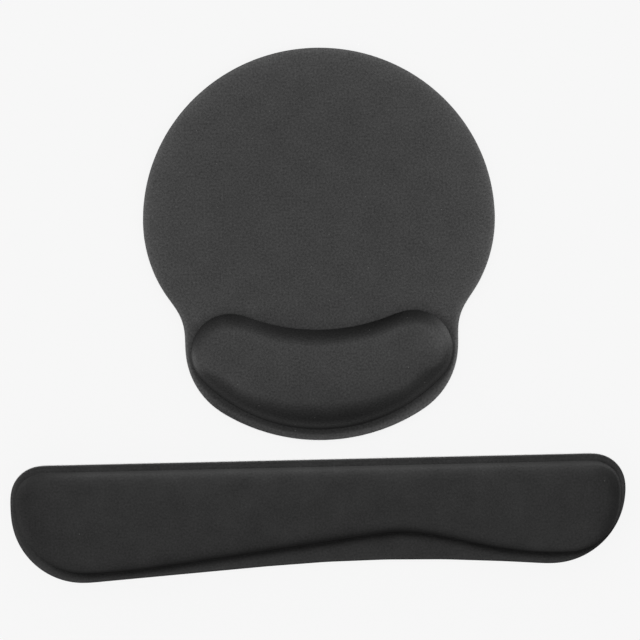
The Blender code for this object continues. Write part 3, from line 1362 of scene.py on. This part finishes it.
@dataclass(frozen=True)
class Studio:
    """The floor and its light, the world and the overhead camera."""

    metres_per_pixel: float = 0.0007
    picture_pixels: int = 640
    origin_pixel: tuple[float, float] = (313.9, 312.8)
    turn_degrees: float = 1.3
    camera_height: float = 1.0
    sensor_width: float = 36.0
    scale_height: float = 0.0035
    floor_size: float = 12.0
    floor_drop: float = 0.0003
    floor_tone: float = 0.93
    floor_softness: float = 24
    bounce_tone: float = 0.2
    ambient: float = 0.1

    def build(self) -> None:
        """Sets up the floor, the light from above, the world and the camera."""
        lit = group("floor_light", [self.floor()])
        Skylight("floor_key", (0, 0), self.floor_softness, 1 - self.ambient).build(lit)
        self.world()
        self.camera()
        bpy.context.scene.view_settings.view_transform = "Standard"

    def seen(self, graph: Graph) -> Field:
        """1 on rays that show a surface to the eye, straight, in a mirror or through glass."""
        path = graph.node("ShaderNodeLightPath")
        names = ("Is Camera Ray", "Is Glossy Ray", "Is Transmission Ray")
        camera, glossy, through = (Field(graph, path.outputs[name]) for name in names)
        return camera + glossy + through

    def floor(self) -> Object:
        """Lays the pale floor, which bounces less light than it shows."""
        deselect()
        bpy.ops.mesh.primitive_plane_add(size=self.floor_size, location=(0, 0, -self.floor_drop))
        floor = bpy.context.active_object
        floor.name = "floor"
        graph = Graph("pale_floor")
        shown = graph.blend(
            self.seen(graph),
            tint((1, 1, 1), self.bounce_tone),
            tint((1, 1, 1), self.floor_tone),
        )
        graph.set(Base_Color=shown, Roughness=1.0, Specular_IOR_Level=0.0)
        floor.data.materials.append(graph.material)
        floor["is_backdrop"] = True
        return floor

    def world(self) -> None:
        """Fills the room with an even light, which shows as pale as the floor."""
        world = bpy.data.worlds.new("studio")
        world.use_nodes = True
        bpy.context.scene.world = world
        tree = world.node_tree
        sky = tree.nodes["Background"]
        sky.inputs["Color"].default_value = (1, 1, 1, 1)
        path = tree.nodes.new("ShaderNodeLightPath")
        level = tree.nodes.new("ShaderNodeMapRange")
        level.inputs["To Min"].default_value = self.ambient
        level.inputs["To Max"].default_value = self.floor_tone
        tree.links.new(path.outputs["Is Camera Ray"], level.inputs["Value"])
        tree.links.new(level.outputs["Result"], sky.inputs["Strength"])

    def camera(self) -> None:
        """Hangs the camera straight above, at the photograph's scale, place and turn."""
        half = self.picture_pixels / 2
        right = (half - self.origin_pixel[0]) * self.metres_per_pixel
        up = (self.origin_pixel[1] - half) * self.metres_per_pixel
        turn = math.radians(self.turn_degrees)
        x = right * math.cos(turn) + up * math.sin(turn)
        y = up * math.cos(turn) - right * math.sin(turn)
        lens = bpy.data.cameras.new("overhead")
        lens.sensor_width = self.sensor_width
        width = self.picture_pixels * self.metres_per_pixel
        lens.lens = lens.sensor_width * (self.camera_height - self.scale_height) / width
        camera = add_object("overhead", lens)
        camera.location = (x, y, self.camera_height)
        camera.rotation_euler = (0, 0, -turn)
        bpy.context.scene.camera = camera


# Stations up the sides, in degrees, for the painted tones below: darker stands in for shade, lighter where
# negative for painted highlights
BEAN_REAR_STATIONS = (0, 12, 24, 34, 44, 52, 64, 77, 85)
BEAN_FRONT_STATIONS = (0, 11, 18, 25, 32, 39, 47, 55, 64, 72, 79, 85)
KEYBOARD_REAR_STATIONS = (0, 15, 26, 37, 48, 58, 70, 85)
KEYBOARD_LOBE_STATIONS = (0, 18, 25, 32, 39, 47, 55)

BEAN_REAR = SideForm(
    run=0.0126,
    toe=1.5,
    tone=(BEAN_REAR_STATIONS, (0.5, 1.4, 1.4, 1.35, 1.25, 1.1, 0.8, 0.3, -0.15)),
    mark=0.55,
    spread=0.0008,
)

BEAN_FRONT = SideForm(
    run=0.021,
    toe=1.8,
    tone=(
        BEAN_FRONT_STATIONS,
        (1.7, 1.4, 1.1, 0.62, 0.42, 0.9, 1.25, 1.27, 1.12, 0.9, 0.62, 0.3),
    ),
    mark=1.4,
    spread=0.006,
    glow=0.35,
)

KEYBOARD_REAR = SideForm(
    run=0.0105,
    toe=0.35,
    tone=(KEYBOARD_REAR_STATIONS, (0, -0.3, -0.4, -0.1, 0.03, 0.15, 0.1, 0.05)),
    mark=0.0,
    glow=-0.6,
)

KEYBOARD_REST = PaddedRest(
    body="keyboard_rest",
    cover_node="keyboard_rest_cover",
    foam_node="keyboard_rest_foam",
    sheets={"keyboard_rest_base": "base_rubber", "keyboard_rest_film": "adhesive_film"},
    form=CushionForm(
        rear=KEYBOARD_REAR,
        rear_left=replace(
            KEYBOARD_REAR,
            tone=(KEYBOARD_REAR_STATIONS, (0.6, 0.7, 0.8, 0.7, 0.6, 0.5, 0.3, 0.1)),
        ),
        front=SideForm(
            run=0.0105,
            toe=0.4,
            tone=(
                (0, 18, 25, 32, 39, 47, 55, 64, 79),
                (1.85, 1.85, 1.4, 1.15, 1.08, 0.78, 0.42, 0.12, -0.05),
            ),
            mark=0.6,
            spread=0.005,
            glow=0.5,
        ),
        left_lobe=SideForm(
            run=0.009,
            toe=0.4,
            tone=(KEYBOARD_LOBE_STATIONS, (1.85, 1.8, 1.4, 0.9, 0.5, 0.2, 0)),
            mark=0.1,
            spread=0.0015,
            glow=1.3,
        ),
        right_lobe=SideForm(
            run=0.0041,
            toe=0.4,
            tone=(KEYBOARD_LOBE_STATIONS, (1.85, 1.85, 1.8, 1.2, 0.5, 0.2, 0)),
            mark=0.5,
            spread=0.004,
            glow=0.5,
        ),
        left=SideForm(
            run=0.02,
            toe=0.4,
            tone=((0, 10, 26, 34, 41, 50, 59, 81), (0.3, -0.3, -0.35, -0.1, 0.08, 0.22, 0.36, 0.26)),
            mark=0.5,
            spread=0.0007,
            glow=2.0,
        ),
        right=SideForm(
            run=0.014,
            toe=0.4,
            tone=((0, 8, 25, 32, 39, 60, 72, 85), (0.3, -1.4, -1.4, -0.5, 0.6, 0.75, 0.5, 0.3)),
            mark=1.2,
            spread=0.0009,
            glow=0.2,
        ),
        crown=0.0002,
        middle=0.06,
        rear_left_span=(-0.165, -0.2),
        tone_sharpness=(1, 1),
    ),
    swell=Swell(pressure=0.1, start=0.0007),
    # Painted tone in from the outline: lighter, a painted glow along the cloth's edge
    edge=((0, 0.0014, 0.0021, 0.0028, 0.0035, 0.005), (-0.7, -0.7, -0.62, -0.47, -0.35, -0.25)),
    cloth=KnitCloth("dark_grey_knit", (0.0275, 0.0275, 0.0275), contrast=0.37, mottling=0.6),
    cloth_slot="keyboard_cloth",
    fill=0.9,
    lamps=(
        Skylight("keyboard_key", lean=(25.5, 8), softness=22, level=0.7),
        Skylight("keyboard_fill", lean=(-10, 0), softness=40, level=0.24),
        StripBox(
            "rear_strip", place=(0.0, 0.4, 0.06), aim=(0.0, -0.11, 0.0), size=(0.2, 0.06), level=1.2
        ),
        StripBox(
            "left_fill", place=(-1.1, -0.6, 0.12), aim=(-0.2, -0.15, 0.0), size=(0.3, 0.12), level=0.35
        ),
        StripBox(
            "right_fill", place=(1.1, -0.6, 0.12), aim=(0.2, -0.14, 0.0), size=(0.3, 0.12), level=0.2
        ),
    ),
)

MOUSE_REST = PaddedRest(
    body="mouse_rest",
    cover_node="mouse_rest_cover",
    foam_node="mouse_rest_foam",
    sheets={
        "mouse_pad_base": "base_rubber",
        "mouse_pad_lower_film": "adhesive_film",
        "mouse_pad_sponge": "sponge",
        "mouse_pad_upper_film": "adhesive_film",
    },
    form=CushionForm(
        rear=BEAN_REAR,
        rear_left=replace(
            BEAN_REAR,
            tone=(BEAN_REAR_STATIONS, (0.3, 1.05, 1.05, 0.93, 0.8, 0.68, 0.5, 0.25, -0.1)),
        ),
        front=BEAN_FRONT,
        left_lobe=replace(
            BEAN_FRONT,
            tone=(
                BEAN_FRONT_STATIONS,
                (1.6, 1.35, 1.12, 1.0, 0.8, 0.75, 0.95, 0.95, 0.78, 0.45, 0.1, -0.15),
            ),
            mark=1.2,
            spread=0.0095,
            glow=-0.5,
        ),
        right_lobe=replace(
            BEAN_FRONT,
            tone=(
                BEAN_FRONT_STATIONS,
                (1.6, 1.35, 1.12, 1.0, 0.76, 0.72, 0.95, 1.02, 0.97, 0.75, 0.45, 0.2),
            ),
            mark=1.3,
            spread=0.0008,
            glow=0.7,
        ),
        left=SideForm(
            run=0.009,
            toe=0.9,
            tone=(
                (0, 12, 20, 28, 34, 40, 52, 63, 77, 85),
                (0.3, 0.3, 0, -0.5, -1.4, -2.1, -1.4, -0.6, -0.3, -0.45),
            ),
            mark=0.5,
            spread=0.0007,
        ),
        right=SideForm(
            run=0.01,
            toe=0.9,
            tone=((0, 12, 38, 50, 60, 72, 85), (0.3, -1.0, -1.1, -0.75, -0.5, -0.6, -0.8)),
            mark=0.6,
            spread=0.003,
        ),
        crown=0.0022,
        middle=0.004,
        rear_left_span=(-0.05, -0.07),
        tone_sharpness=(16, 8),
        tone_turn=(-10, 27),
    ),
    swell=Swell(pressure=8, start=0.0003),
    # Painted tone in from the outline: lighter, a painted glow along the cloth's edge
    edge=(
        (0, 0.0014, 0.0021, 0.0028, 0.0042, 0.0056, 0.0084, 0.0126, 0.019, 0.028, 0.042, 0.06),
        (-2.1, -1.8, -1.45, -1.18, -0.86, -0.7, -0.55, -0.4, -0.29, -0.22, -0.14, -0.05),
    ),
    cloth=KnitCloth("grey_knit", (0.0458, 0.0458, 0.0458), lint_spacing=0.013),
    cloth_slot="mouse_cloth",
    fill=0.9,
    lamps=(
        Skylight("mouse_key", lean=(0, 0), softness=16, level=0.9),
        StripBox(
            "left_strip", place=(-1.1, -0.12, 0.1), aim=(0.0, -0.04, 0.0), size=(0.25, 0.12), level=0.45
        ),
        StripBox(
            "right_strip", place=(1.1, 0.36, 0.12), aim=(0.0, -0.02, 0.0), size=(0.25, 0.12), level=0.7
        ),
    ),
)


def write_sizes() -> None:
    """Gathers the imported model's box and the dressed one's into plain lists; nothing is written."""
    boxes = {"cad": CAD_BOX, "visual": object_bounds()}
    plain = {key: [list(corner) for corner in box] for key, box in boxes.items()}


def main() -> None:
    """Builds the two rests and the studio round them."""
    logging.basicConfig(level=logging.INFO, format="%(name)s: %(message)s")
    finishes = {
        "base_rubber": NonSlipRubber("non_slip_rubber", (0.018, 0.018, 0.019)).material(),
        "foam": CellFoam("slow_foam", (0.72, 0.68, 0.55), pore=0.0008).material(),
        "sponge": CellFoam("black_sponge", (0.03, 0.03, 0.03), pore=0.0005).material(),
        "adhesive_film": AdhesiveFilm("hot_melt_film", (0.05, 0.046, 0.04)).material(),
    }
    for rest in (KEYBOARD_REST, MOUSE_REST):
        rest.build(finishes)
    Studio().build()
    write_sizes()


if __name__ == "__main__":
    main()
